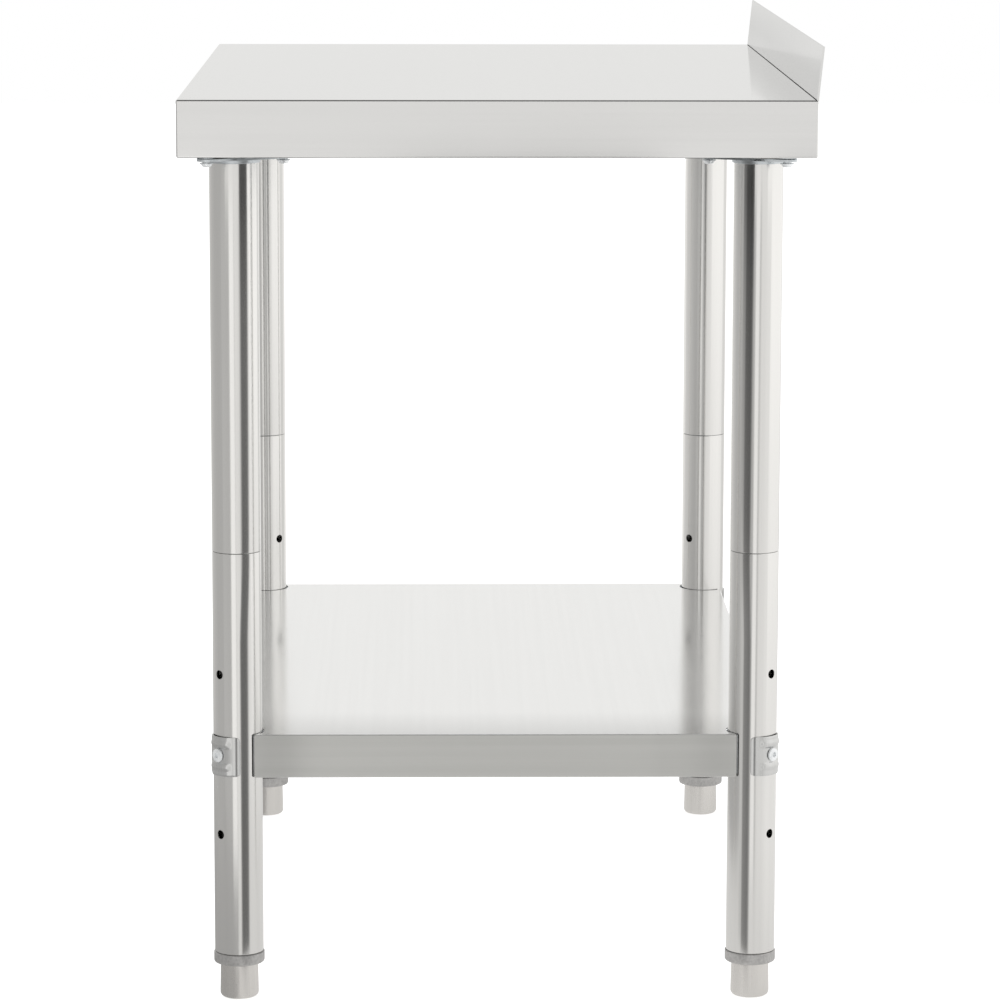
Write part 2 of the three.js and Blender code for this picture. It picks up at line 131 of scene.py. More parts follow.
def lathe(profile, sides=TUBE_SIDES, ring=False):
    """A body of revolution about Z from (radius, height) points, which end on the axis or close in a ring."""
    bm = bmesh.new()
    rows = []
    for radius, height in profile:
        if radius < 1e-7:
            rows.append([bm.verts.new((0, 0, height))])
            continue
        row = []
        for i in range(sides):
            angle = 2 * math.pi * i / sides
            row.append(bm.verts.new((radius * math.cos(angle), radius * math.sin(angle), height)))
        rows.append(row)
    pairs = list(zip(rows, rows[1:]))
    if ring:
        pairs.append((rows[-1], rows[0]))
    for low, high in pairs:
        for i in range(sides):
            j = (i + 1) % sides
            if len(low) == 1:
                bm.faces.new((low[0], high[j], high[i]))
            elif len(high) == 1:
                bm.faces.new((low[i], low[j], high[0]))
            else:
                bm.faces.new((low[i], low[j], high[j], high[i]))
    bmesh.ops.recalc_face_normals(bm, faces=bm.faces)
    return bm


def rod(radius, bottom, top, sides=ROD_SIDES):
    """A plain closed cylinder on Z."""
    return lathe([(0, bottom), (radius, bottom), (radius, top), (0, top)], sides)


def block(low, high):
    """A closed box between two corners."""
    outline = [(low[0], low[1]), (high[0], low[1]), (high[0], high[1]), (low[0], high[1])]
    return prism(outline, low[2], high[2])


def make(name, bm, place=None):
    """Turns a bmesh into a linked object, moved by a matrix if one is given."""
    if place is not None:
        bm.transform(place)
    mesh = bpy.data.meshes.new(name)
    bm.to_mesh(mesh)
    bm.free()
    obj = bpy.data.objects.new(name, mesh)
    bpy.context.scene.collection.objects.link(obj)
    return obj


def evaluated(obj):
    """Replaces an object's mesh by the result of its modifiers."""
    graph = bpy.context.evaluated_depsgraph_get()
    mesh = bpy.data.meshes.new_from_object(obj.evaluated_get(graph))
    obj.modifiers.clear()
    obj.data = mesh


def combine(obj, other, operation):
    """Joins or cuts an object by another one, which is used up."""
    modifier = obj.modifiers.new("combine", "BOOLEAN")
    modifier.operation = operation
    modifier.solver = "EXACT"
    modifier.object = other
    evaluated(obj)
    bpy.data.objects.remove(other)


def clean(obj):
    """Merges points that coincide and drops faces without area."""
    nothing = 0.002 * MM
    bm = bmesh.new()
    bm.from_mesh(obj.data)
    bmesh.ops.remove_doubles(bm, verts=bm.verts, dist=nothing)
    bmesh.ops.dissolve_degenerate(bm, dist=nothing, edges=bm.edges)
    bm.to_mesh(obj.data)
    bm.free()


def smooth(obj, angle, flat_faces=False):
    """Smooth shading that keeps edges sharper than an angle. flat_faces keeps large flats truly flat."""
    clean(obj)
    for polygon in obj.data.polygons:
        polygon.use_smooth = True
    obj.data.set_sharp_from_angle(angle=math.radians(angle))
    if flat_faces:
        modifier = obj.modifiers.new("flat_faces", "WEIGHTED_NORMAL")
        modifier.keep_sharp = True
        modifier.weight = 100  # the highest: only the largest faces count


def bevel(obj, width):
    """Rounds the edges that turn by more than 50 degrees."""
    modifier = obj.modifiers.new("bevel", "BEVEL")
    modifier.width = width
    modifier.segments = 2
    modifier.limit_method = "ANGLE"
    modifier.angle_limit = math.radians(50)
    evaluated(obj)


def settle(obj, material, body, node):
    """Gives a piece one material or more and the body it rides on, and hides the CAD node it stands for."""
    obj.data.materials.clear()
    for one in material if isinstance(material, tuple) else (material,):
        obj.data.materials.append(one)
    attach(obj, body)
    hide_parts(node)


# ---------------------------------------------------------------- materials

class Nodes:
    """A small helper that adds linked shader nodes to one material."""

    def __init__(self, name, colour, roughness, metallic=1.0):
        self.material = bpy.data.materials.new(name)
        self.material.use_nodes = True
        self.tree = self.material.node_tree
        self.shader = self.tree.nodes["Principled BSDF"]
        self.shader.inputs["Base Color"].default_value = (*colour, 1)
        self.shader.inputs["Roughness"].default_value = roughness
        self.shader.inputs["Metallic"].default_value = metallic
        self.coordinates = self.add("ShaderNodeTexCoord").outputs["Object"]

    def add(self, kind, **values):
        """A new node, with values for its own settings and for its sockets."""
        node = self.tree.nodes.new(kind)
        for key, value in values.items():
            if hasattr(node, key):
                setattr(node, key, value)
            else:
                node.inputs[key].default_value = value
        return node

    def link(self, source, target):
        self.tree.links.new(source, target)

    def noise(self, scale, detail=3.0, rough=0.5, stretch=(1, 1, 1), distortion=0.0):
        """Soft noise. A larger stretch on an axis makes it finer along that axis."""
        mapping = self.add("ShaderNodeMapping", Scale=stretch)
        self.link(self.coordinates, mapping.inputs["Vector"])
        node = self.add("ShaderNodeTexNoise", Scale=scale, Detail=detail, Roughness=rough,
                        Distortion=distortion)
        self.link(mapping.outputs["Vector"], node.inputs["Vector"])
        return node.outputs["Fac"]

    def cells(self, scale):
        """Cells with straight borders, each with one random value."""
        node = self.add("ShaderNodeTexVoronoi", Scale=scale)
        self.link(self.coordinates, node.inputs["Vector"])
        grey = self.add("ShaderNodeSeparateColor")
        self.link(node.outputs["Color"], grey.inputs["Color"])
        return grey.outputs["Red"]

    def remap(self, value, low, high, to_low, to_high):
        """Maps low..high onto to_low..to_high, and stays at the ends outside them."""
        node = self.add("ShaderNodeMapRange")
        for key, number in (("From Min", low), ("From Max", high), ("To Min", to_low), ("To Max", to_high)):
            node.inputs[key].default_value = number
        self.link(value, node.inputs["Value"])
        return node.outputs["Result"]

    def along(self, axis, start, end, first, last):
        """A value that goes from first to last between two places on an axis."""
        split = self.add("ShaderNodeSeparateXYZ")
        self.link(self.coordinates, split.inputs[0])
        return self.remap(split.outputs[axis], start, end, first, last)

    def maths(self, operation, first, second):
        """A Math node on two values, each a number or a socket."""
        node = self.add("ShaderNodeMath", operation=operation)
        for i, value in enumerate((first, second)):
            if isinstance(value, (int, float)):
                node.inputs[i].default_value = value
            else:
                self.link(value, node.inputs[i])
        return node.outputs["Value"]

    def blend(self, factor, first, second):
        """A colour between two colours."""
        node = self.add("ShaderNodeMix", data_type="RGBA")
        node.inputs[6].default_value = (*first, 1)
        node.inputs[7].default_value = (*second, 1)
        self.link(factor, node.inputs[0])
        return node.outputs[2]

    def bump(self, height, distance, strength=1.0, after=None):
        """A bumpy normal, on top of another one if that is given."""
        node = self.add("ShaderNodeBump", Strength=strength, Distance=distance)
        self.link(height, node.inputs["Height"])
        if after is not None:
            self.link(after, node.inputs["Normal"])
        return node.outputs["Normal"]

    def finish(self, colour, roughness, normal):
        """Links the shader's main sockets and gives the material."""
        for value, socket in ((colour, "Base Color"), (roughness, "Roughness"), (normal, "Normal")):
            self.link(value, self.shader.inputs[socket])
        return self.material


def brushed(name, light, dark, roughness, grain, spread=0.05, groove=0.9, tint=1.0, smear=0.0, metal=1.0,
            painted_sheen=None):
    """Brushed stainless: fine lines along the grain, long soft streaks, a few scratches and faint smudges.

    grain has a 1 for each axis that the lines cross. spread is how much the roughness varies, groove the
    depth of the lines in micrometres, smear the anisotropy. painted_sheen paints light and shade as a
    specular tint that changes along an axis.
    """
    n = Nodes(name, light, roughness, metal)
    n.shader.inputs["Specular Tint"].default_value = (tint, tint, tint, 1)
    n.shader.inputs["Anisotropic"].default_value = smear
    n.shader.inputs["Anisotropic Rotation"].default_value = 0.25 if smear else 0.0

    def drawn(across, along, **look):
        """Noise drawn out along the grain."""
        return n.noise(1, stretch=[across if crossed else along for crossed in grain], **look)

    lines = drawn(2600, 7, detail=4, rough=0.65)
    streaks = drawn(160, 1.6, detail=2)
    scratches = drawn(900, 11, detail=1, distortion=0.15)
    smudges = n.noise(5.5, detail=5, rough=0.6, distortion=0.4)
    scratch = n.remap(scratches, 0.70, 0.76, 0.0, 1.0)
    tone = n.maths("ADD", n.remap(streaks, 0.3, 0.7, 0.0, 0.55), n.remap(lines, 0.3, 0.7, 0.0, 0.45))
    tone = n.maths("SUBTRACT", tone, n.maths("MULTIPLY", scratch, 0.3))
    rough = n.remap(smudges, 0.35, 0.7, roughness - spread * 0.4, roughness + spread)
    rough = n.maths("ADD", rough, n.remap(lines, 0.25, 0.75, -spread * 0.5, spread * 0.5))
    height = n.maths("SUBTRACT", lines, n.maths("MULTIPLY", scratch, 0.6))
    # Painted light and shade: the specular tint ramps between two values along an axis.
    if painted_sheen:
        n.link(n.along(*painted_sheen), n.shader.inputs["Specular Tint"])
    return n.finish(n.blend(tone, dark, light), rough, n.bump(height, groove * 1e-6))


def galvanised(name):
    """Galvanised sheet: large crystals of slightly different greys under a thin dull film."""
    n = Nodes(name, (0.60, 0.63, 0.65), 0.38)
    crystals = n.cells(95)
    fine = n.noise(420, detail=3)
    film = n.noise(9, detail=5, rough=0.6)
    tone = n.maths("ADD", n.maths("MULTIPLY", crystals, 0.7), n.remap(film, 0.3, 0.7, 0.0, 0.4))
    rough = n.maths("ADD", n.remap(crystals, 0, 1, 0.26, 0.44), n.remap(fine, 0.3, 0.7, -0.04, 0.05))
    normal = n.bump(crystals, 1.2e-5, 0.5, n.bump(fine, 6e-6, 0.5))
    return n.finish(n.blend(tone, (0.47, 0.50, 0.52), (0.70, 0.73, 0.75)), rough, normal)


def zinc(name):
    """Bright zinc plating on pressed and turned fasteners."""
    n = Nodes(name, (0.70, 0.72, 0.74), 0.25, metallic=0.6)
    grain = n.noise(900, detail=4)
    patches = n.noise(120, detail=3)
    tone = n.remap(patches, 0.35, 0.65, 0.0, 1.0)
    rough = n.remap(grain, 0.3, 0.7, 0.12, 0.26)
    normal = n.bump(grain, 1.0e-5, 0.4)
    return n.finish(n.blend(tone, (0.72, 0.738, 0.748), (0.86, 0.872, 0.88)), rough, normal)


def cast(name):
    """Matte cast alloy with a fine sandy skin."""
    n = Nodes(name, (0.40, 0.40, 0.40), 0.5, metallic=0.75)
    sand = n.noise(1500, detail=5, rough=0.7)
    patches = n.noise(70, detail=3)
    coarse = n.noise(420, detail=3, rough=0.6)
    tone = n.maths("ADD", n.remap(patches, 0.3, 0.7, 0.0, 0.3), n.remap(sand, 0.3, 0.7, 0.0, 0.3))
    tone = n.maths("ADD", tone, n.remap(coarse, 0.35, 0.65, 0.0, 0.4))
    rough = n.remap(sand, 0.3, 0.7, 0.30, 0.46)
    normal = n.bump(sand, 4e-5, 0.6, n.bump(coarse, 1.2e-4, 0.7))
    return n.finish(n.blend(tone, (0.30, 0.295, 0.29), (0.56, 0.55, 0.54)), rough, normal)


# Brushed lines that run along X, along Y and along Z.
GRAIN_X, GRAIN_Y, GRAIN_Z = (0, 1, 1), (1, 0, 1), (1, 1, 0)

SHEET = brushed("sheet_steel", (0.80, 0.80, 0.795), (0.77, 0.77, 0.765), 0.07, GRAIN_X,
                spread=0.02, groove=0.2)
SHEET_ENDS = brushed("sheet_steel_ends", (0.795, 0.79, 0.785), (0.765, 0.76, 0.755), 0.19, GRAIN_Y,
                     spread=0.03, groove=0.5)
# The upstand is painted lighter towards its top: a painted highlight, its specular tint rising from 0.82 to
# 0.93.
UPSTAND = brushed("upstand_steel", (0.79, 0.79, 0.785), (0.76, 0.76, 0.755), 0.11, GRAIN_X,
                  spread=0.03, groove=0.3, painted_sheen=("Z", 0.912, 0.940, 0.82, 0.93))
# Near-black painted shade for the notch faces that look at the leg, in the narrow gap between shelf and leg.
NOTCH_SHADE = brushed("notch_painted_shade", (0.10, 0.10, 0.10), (0.05, 0.05, 0.05), 0.5, GRAIN_X, groove=0.4, tint=0.3)
# Dark painted shade for the groove at the foot of the upstand, where the tight bend lies in shadow.
CREASE_SHADE = brushed("crease_painted_shade", (0.26, 0.26, 0.255), (0.18, 0.18, 0.18), 0.6, GRAIN_X, groove=0.4, tint=0.4)
# The shelf top is painted darker towards its near edge: painted shade, its specular tint falling from 1.0 to
# 0.78.
SHELF_SHEET = brushed("shelf_steel", (0.83, 0.83, 0.825), (0.80, 0.80, 0.795), 0.13, GRAIN_X,
                      spread=0.02, groove=0.4, metal=0.9, painted_sheen=("X", 0.31, 0.415, 1.0, 0.78))
# The shelf's end flanges: partly a real rougher, duller finish, partly painted shade, with the base colour
# held far below the shelf's own steel for the dark surroundings they mirror.
SHELF_ENDS_SHADED = brushed("shelf_ends_painted_shade", (0.445, 0.442, 0.424), (0.408, 0.405, 0.387), 0.50, GRAIN_Y,
                     groove=1.5, metal=0.35)
TUBE = brushed("tube_steel", (0.81, 0.80, 0.785), (0.77, 0.76, 0.745), 0.19, GRAIN_Z,
               spread=0.02, groove=0.15, smear=0.8)
CUP = brushed("cup_steel", (0.78, 0.755, 0.73), (0.70, 0.68, 0.655), 0.26, GRAIN_Z, groove=0.5, smear=0.6)
PRESSED = brushed("pressed_steel", (0.68, 0.68, 0.675), (0.61, 0.61, 0.605), 0.27, GRAIN_Z,
                  spread=0.04, groove=0.4)
GALVANISED = galvanised("galvanised_steel")
ZINC = zinc("zinc_plated")
CAST = cast("cast_alloy")


# ---------------------------------------------------------------- table top

def folded_pan(name, low, high, sheet, radius, lip, sharp_rear=False):
    """A folded sheet pan, open below, with round bends and a return lip, as one closed thin skin."""
    bm = bmesh.new()
    size = high - low
    middle = (low + high) / 2
    bmesh.ops.create_cube(bm, size=1, matrix=Matrix.Translation(middle) @ Matrix.Diagonal((*size, 1)))
    bottom = [f for f in bm.faces if f.normal.z < -0.9]
    bmesh.ops.delete(bm, geom=bottom, context="FACES_ONLY")
    rim = [e for e in bm.edges if e.is_boundary]
    made = bmesh.ops.extrude_edge_only(bm, edges=rim)
    for v in [g for g in made["geom"] if isinstance(g, bmesh.types.BMVert)]:
        v.co.x += lip if v.co.x < middle.x else -lip
        v.co.y += lip if v.co.y < middle.y else -lip

    def at_rear_top(edge):
        close = 0.01 * MM
        return all(v.co.z > high.z - close and v.co.y > high.y - close for v in edge.verts)

    bends = []
    for edge in bm.edges:
        if len(edge.link_faces) < 2 or edge.calc_face_angle(0) < 0.5:
            continue
        if sharp_rear and at_rear_top(edge):
            continue
        bends.append(edge)
    bmesh.ops.bevel(bm, geom=bends, offset=radius, segments=5, profile=0.5, affect="EDGES")
    bmesh.ops.recalc_face_normals(bm, faces=bm.faces)
    obj = make(name, bm)
    modifier = obj.modifiers.new("sheet", "SOLIDIFY")
    modifier.thickness = sheet
    modifier.offset = -1
    modifier.use_even_offset = True
    evaluated(obj)
    return obj


def looks_along_x(polygon):
    """Whether a face is on the near or the far end."""
    return abs(polygon.normal.x) > 0.7


def ends_to_second_slot(obj):
    """Faces that look along X take the second material, whose grain runs the other way."""
    for polygon in obj.data.polygons:
        polygon.material_index = 1 if looks_along_x(polygon) else 0


TOP_SHEET = 1 * MM
UPSTAND_HEIGHT = 51 * MM
UPSTAND_LEAN = 5 * MM
UPSTAND_ROOT = 0.8 * MM  # how far the upstand goes down into the sheet
# The groove along the upstand's inner face, from that face.
CREASE_FRONT, CREASE_REAR, CREASE_DEPTH = -0.9 * MM, 0.1 * MM, 0.55 * MM


def table_top():
    """The top's folded sheet with its upstand, as one piece."""
    low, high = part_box("table_top")
    rear = high.y - UPSTAND_LEAN
    surface = high.z - UPSTAND_HEIGHT
    inner = rear - 2 * TOP_SHEET
    crease = inner + (CREASE_FRONT + CREASE_REAR) / 2
    corner = Vector((high.x, rear, surface))
    pan = folded_pan("table_top_sheet", low, corner, TOP_SHEET, 1.8 * MM, 9.5 * MM, sharp_rear=True)
    combine(pan, table_upstand(rear, inner, surface, high.x), "UNION")
    cut_crease(pan, inner, surface, high.x)
    smooth(pan, 30, flat_faces=True)
    settle(pan, (SHEET, SHEET_ENDS, UPSTAND, CREASE_SHADE), "frame", "table_top")
    ends_to_second_slot(pan)
    for polygon in pan.data.polygons:
        centre = polygon.center
        if centre.z > surface + 0.5 * MM and not looks_along_x(polygon):
            polygon.material_index = 2
            continue
        # Faces inside the groove take the fourth material: painted shade in the crease.
        below = surface - 0.8 * MM < centre.z < surface - 0.01 * MM
        if below and abs(centre.y - crease) < 0.6 * MM:
            polygon.material_index = 3


def table_upstand(rear, inner, surface, half_length):
    """The upstand: the sheet folded up, over in a tight hem and down again at the back."""
    hem = TOP_SHEET
    outline = [(rear, surface - UPSTAND_ROOT), (rear, surface)]
    outline += arc((rear + UPSTAND_LEAN - hem, surface + UPSTAND_HEIGHT - hem), hem, 0, 180, 8)
    outline += [(inner, surface), (inner, surface - UPSTAND_ROOT)]
    end = half_length - 0.7 * MM
    return make("upstand", prism(outline, -end, end), ALONG_X)


def cut_crease(pan, inner, surface, half_length):
    """The tight bend at the foot of the upstand, a narrow groove whose faces table_top darkens with painted
    shade.
    """
    front, rear = inner + CREASE_FRONT, inner + CREASE_REAR
    above, floor = surface + 0.3 * MM, surface - CREASE_DEPTH
    outline = [(front, above), (front, floor), (rear, floor), (rear, above)]
    end = half_length + 1 * MM
    combine(pan, make("groove", prism(outline, -end, end), ALONG_X), "DIFFERENCE")


# ---------------------------------------------------------------- undershelf

NOTCH_RADIUS = 26.1 * MM
NOTCH_MOUTH = 26 * MM


def undershelf():
    """The shelf's folded sheet, with each corner cut away round its leg."""
    low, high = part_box("undershelf")
    pan = folded_pan("undershelf_sheet", low, high, 0.9 * MM, 1.6 * MM, 10 * MM)
    for corner, (side_x, side_y) in CORNER_SIDES.items():
        centre = leg_centre(corner)
        notch = make("notch", prism(circle(NOTCH_RADIUS, 120), low.z - PAST, high.z + PAST))
        x, y = NOTCH_MOUTH * side_x, NOTCH_MOUTH * side_y
        square = [(0, 0), (x, 0), (x, y), (0, y)]
        mouth = make("mouth", prism(square, low.z - PAST - 1 * MM, high.z + PAST + 1 * MM))
        combine(notch, mouth, "UNION")
        notch.data.transform(Matrix.Translation(centre))
        combine(pan, notch, "DIFFERENCE")
    smooth(pan, 30, flat_faces=True)
    settle(pan, (SHELF_SHEET, SHELF_ENDS_SHADED, NOTCH_SHADE), "shelf", "undershelf")
    ends_to_second_slot(pan)
    # Notch faces that look at the leg take the third material: painted shade for the dark gap beside the leg.
    for corner in CORNER_SIDES:
        centre = leg_centre(corner)
        for polygon in pan.data.polygons:
            away = Vector((polygon.center.x - centre.x, polygon.center.y - centre.y, 0))
            if away.length < NOTCH_RADIUS + 0.3 * MM and polygon.normal.dot(away.normalized()) < -0.5:
                polygon.material_index = 2


# ---------------------------------------------------------------- copies at the corners

QUARTER_TURNS = {"rear_right": 0, "rear_left": 1, "front_left": 2, "front_right": 3}


def centre_of(node):
    """The middle of a CAD node's box, at floor level."""
    low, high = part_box(node)
    return Vector(((low.x + high.x) / 2, (low.y + high.y) / 2, 0))


def leg_centre(corner):
    return centre_of("leg_upper_" + corner)


def corner_place(corner):
    """From a leg at the origin whose outward diagonal is halfway between +X and +Y to one corner."""
    turn = Matrix.Rotation(math.pi / 2 * QUARTER_TURNS[corner], 4, "Z")
    return Matrix.Translation(leg_centre(corner)) @ turn


def copies(master, material, places):
    """Copies of one shape, each for one CAD node: places gives (node, body, matrix)."""
    for node, body, place in places:
        mesh = master.data.copy()
        mesh.transform(place)
        obj = bpy.data.objects.new(node + "_shape", mesh)
        bpy.context.scene.collection.objects.link(obj)
        settle(obj, material, body, node)
    bpy.data.objects.remove(master)


def at_corners(kind, body):
    """The places of a piece that is turned a quarter turn from corner to corner."""
    return [(kind + "_" + corner, body, corner_place(corner)) for corner in CORNER_SIDES]


def on_axes(kind, body=None):
    """The places of a round piece on the axis of each leg. Without a body, each rides on its own foot."""
    places = []
    for corner in CORNER_SIDES:
        places.append((kind + "_" + corner, body or "foot_" + corner, Matrix.Translation(leg_centre(corner))))
    return places


# ---------------------------------------------------------------- legs

def tube_profile(outer, inner, bottom, top, edge):
    """A tube wall with a round edge at each outer end."""
    low = arc((outer - edge, bottom + edge), edge, -80, 0, 5)
    high = arc((outer - edge, top - edge), edge, 0, 80, 5)
    return [(inner, bottom)] + low + high + [(inner, top)]


def leg_tube(node):
    """A length of leg tube as high as a CAD node."""
    low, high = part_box(node)
    return make("tube", lathe(tube_profile(LEG_RADIUS, LEG_BORE, low.z, high.z, 0.7 * MM), ring=True))


def legs():
    """The two tubes of each leg, with three clamp holes on the outward diagonal of the lower one."""
    upper = leg_tube("leg_upper_rear_right")
    smooth(upper, 40)
    copies(upper, TUBE, at_corners("leg_upper", "frame"))
    lower = leg_tube("leg_lower_rear_right")
    for height in (CLAMP_HEIGHT - HOLE_PITCH, CLAMP_HEIGHT, CLAMP_HEIGHT + HOLE_PITCH):
        drill = rod(SCREW_HOLE, -50 * MM, 50 * MM)
        combine(lower, make("drill", drill, Matrix.Translation((0, 0, height)) @ DIAGONAL), "DIFFERENCE")
    smooth(lower, 40)
    copies(lower, TUBE, at_corners("leg_lower", "frame"))


# ---------------------------------------------------------------- leg tops

def bolt_places(side):
    """Where the three bolts of a front (-1) or rear (1) leg stand round its axis."""
    return circle(BOLT_CIRCLE, 3, start=-90 * side)


def flanges():
    """A triangular plate with round corners, on a collar that is welded to the tube."""
    for side in (-1, 1):
        low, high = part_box("leg_flange_rear_left" if side > 0 else "leg_flange_front_left")
        under = high.z - 2.5 * MM
        outline = []
        for x, y in bolt_places(side):
            heading = math.degrees(math.atan2(y, x))
            outline += arc((x, y), 9.5 * MM, heading - 60, heading + 60, 14)
        plate = make("flange", prism(outline, under, high.z))
        collar = [
            (20 * MM, low.z + 0.2 * MM),
            (25.5 * MM, low.z),
            (25.9 * MM, low.z + 0.4 * MM),
            (25.9 * MM, under - 0.4 * MM),
            (26.7 * MM, under + 0.4 * MM),
            (20 * MM, under + 0.4 * MM),
        ]
        combine(plate, make("collar", lathe(collar, RING_SIDES, ring=True)), "UNION")
        bore = rod(LEG_RADIUS + 0.3 * MM, low.z - PAST, high.z + PAST, RING_SIDES)
        combine(plate, make("bore", bore), "DIFFERENCE")
        for spot in bolt_places(side):
            hole = prism(circle(BOLT_HOLE, 24, centre=spot), low.z - PAST, high.z + PAST)
            combine(plate, make("hole", hole), "DIFFERENCE")
        bevel(plate, 0.3 * MM)
        smooth(plate, 40)
        corners = [c for c in CORNER_SIDES if CORNER_SIDES[c][1] == side]
        places = [("leg_flange_" + c, "frame", Matrix.Translation(leg_centre(c))) for c in corners]
        copies(plate, GALVANISED, places)


def flange_bolts():
    """Rimmed button-head bolts with a hexagon socket below and a shank above, drawn plain without its thread.
    """
    low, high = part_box("flange_bolt_front_left_1")
    crown, top = low.z, high.z
    seat = crown + 4 * MM
    washer_top = seat + 1.2 * MM
    shank = 3 * MM
    profile = [(0, crown)]
    profile += arc((2.6 * MM, crown + 2.6 * MM), 2.6 * MM, -90, -20, 6)
    profile += [(5.35 * MM, crown + 2.5 * MM), (5.45 * MM, seat - 1.1 * MM)]
    profile += arc((6.3 * MM, seat - 0.5 * MM), 0.5 * MM, -90, 90, 6)
    profile += [(4.0 * MM, seat), (4.15 * MM, seat + 0.2 * MM), (4.0 * MM, washer_top)]
    profile += [(shank, washer_top), (shank, top - 0.6 * MM), (shank - 0.6 * MM, top), (0, top)]
    bolt = make("bolt", lathe(profile, 48))
    key = prism(circle(2.3 * MM, 6), crown - 2 * MM, crown + 2 * MM)
    combine(bolt, make("key", key), "DIFFERENCE")
    smooth(bolt, 35)
    places = []
    for corner, (_, sy) in CORNER_SIDES.items():
        for i, (x, y) in enumerate(bolt_places(sy)):
            move = Matrix.Translation(leg_centre(corner) + Vector((x, y, 0)))
            places.append(("flange_bolt_" + corner + "_" + str(i + 1), "frame", move))
    copies(bolt, ZINC, places)


def sleeves():
    """The sleeve inside each leg that holds its two tubes together."""
    low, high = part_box("leg_sleeve_front_left")
    sleeve = make("sleeve", lathe(tube_profile(22.7 * MM, 21.2 * MM, low.z, high.z, 0.4 * MM), 64, ring=True))
    smooth(sleeve, 30)
    copies(sleeve, GALVANISED, on_axes("leg_sleeve", "frame"))


# ---------------------------------------------------------------- channels

def channel_outline(width, bottom, top, lip, sheet=1.2 * MM, bend=2.4 * MM):
    """A lipped channel's section with round bends, as (across, height) points."""
    half = width / 2
    inner = bend - sheet
    wall, floor, roof = half - sheet, bottom + sheet, top - sheet
    outside = [(-half + lip, top, 0), (-half, top, bend), (-half, bottom, bend)]
    outside += [(half, bottom, bend), (half, top, bend), (half - lip, top, 0)]
    inside = [(half - lip, roof, 0), (wall, roof, inner), (wall, floor, inner)]
    inside += [(-wall, floor, inner), (-wall, roof, inner), (-half + lip, roof, 0)]
    return rounded(outside + inside)


def channel(width, length, bottom, top, lip, place):
    """A channel round its own middle. place lays it down along X or Y."""
    outline = channel_outline(width, bottom, top, lip)
    return make("rail", prism(outline, -length / 2, length / 2), place)


def channels():
    """The channels that run along the middle of the top and of the shelf."""
    for node, body, lip in (("top_channel_middle", "frame", 20 * MM), ("shelf_channel", "shelf", 10 * MM)):
        low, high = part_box(node)
        rail = channel(high.y - low.y, high.x - low.x, low.z, high.z, lip, ALONG_X)
        smooth(rail, 30)
        copies(rail, GALVANISED, [(node, body, Matrix.Translation(centre_of(node)))])


def cross_channels():
    """The channels over the legs, with a stand-off and a weld nut for each flange bolt."""
    low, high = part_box("top_channel_left")
    web = low.z + 1.2 * MM
    rail = channel(high.x - low.x, high.y - low.y, web, high.z, 20 * MM, ALONG_Y)
    spots = []
    for side in (-1, 1):
        leg = leg_centre("rear_left" if side > 0 else "front_left")
        leg_y = leg.y - centre_of("top_channel_left").y
        spots += [Matrix.Translation((x, leg_y + y, 0)) for x, y in bolt_places(side)]
    radius, pad_top = 9 * MM, web + 0.6 * MM
    pad = [(0, low.z), (radius - 0.6 * MM, low.z), (radius, low.z + 0.6 * MM)]
    pad += [(radius, pad_top), (0, pad_top)]
    for spot in spots:
        combine(rail, make("pad", lathe(pad, 48), spot), "UNION")
        nut = prism(circle(6.5 * MM, 6), web + 0.7 * MM, web + 6.2 * MM)
        combine(rail, make("nut", nut, spot), "UNION")
    for spot in spots:
        # The first corner is at 4 degrees, because the cut fails where its corners line up with the pad's.
        hole = prism(circle(BOLT_HOLE, 24, start=4), low.z - PAST, web + 2 * PAST)
        combine(rail, make("hole", hole, spot), "DIFFERENCE")
    smooth(rail, 30)
    places = []
    for node in ("top_channel_left", "top_channel_right"):
        places.append((node, "frame", Matrix.Translation(centre_of(node))))
    copies(rail, GALVANISED, places)


# ---------------------------------------------------------------- shelf clamps

CLAMP_BORE = 24.4 * MM
CLAMP_SHEET = 1.4 * MM
CLAMP_OUTER = CLAMP_BORE + CLAMP_SHEET
CLAMP_NUT = 7 * MM
CLAMP_AXIS = Matrix.Translation((0, 0, CLAMP_HEIGHT)) @ DIAGONAL
SADDLE_HALF_WIDTH = 19.7 * MM
SADDLE_HALF_HEIGHT = 19.5 * MM
SADDLE_DROP = 1 * MM  # how far the saddle's middle is below its screw


def ramp(value, start, end):
    """0 before start, 1 after end, smooth between."""
    t = min(max((value - start) / (end - start), 0), 1)
    return t * t * (3 - 2 * t)


def saddle_rise(across, height):
    """How far the pressing stands off the tube: two soft ridges, and a flat pad for the screw."""
    pad = 1 - ramp(abs(height), 6.4 * MM, 8.8 * MM)
    rise = 1.2 * MM * (1 - pad) + 0.25 * MM * pad
    for level in (-11.6 * MM, 11.6 * MM):
        rise += 1.15 * MM * (1 - ramp(abs(height - level), 0, 4.4 * MM))
    return rise * (1 - ramp(abs(across), 8.5 * MM, 15.0 * MM))


def saddle_radius(across, height, sheet):
    """How far a saddle's skin is from the leg's axis. across is along the curve, height from the middle."""
    chord = 0.97 * across
    radius = CLAMP_BORE + sheet + saddle_rise(chord, height - SADDLE_DROP)
    if sheet:
        radius -= 0.8 * MM * ramp(abs(across), 17.8 * MM, 21.2 * MM)
        radius -= 0.5 * MM * ramp(abs(height), 17.6 * MM, 19.8 * MM)
    return radius


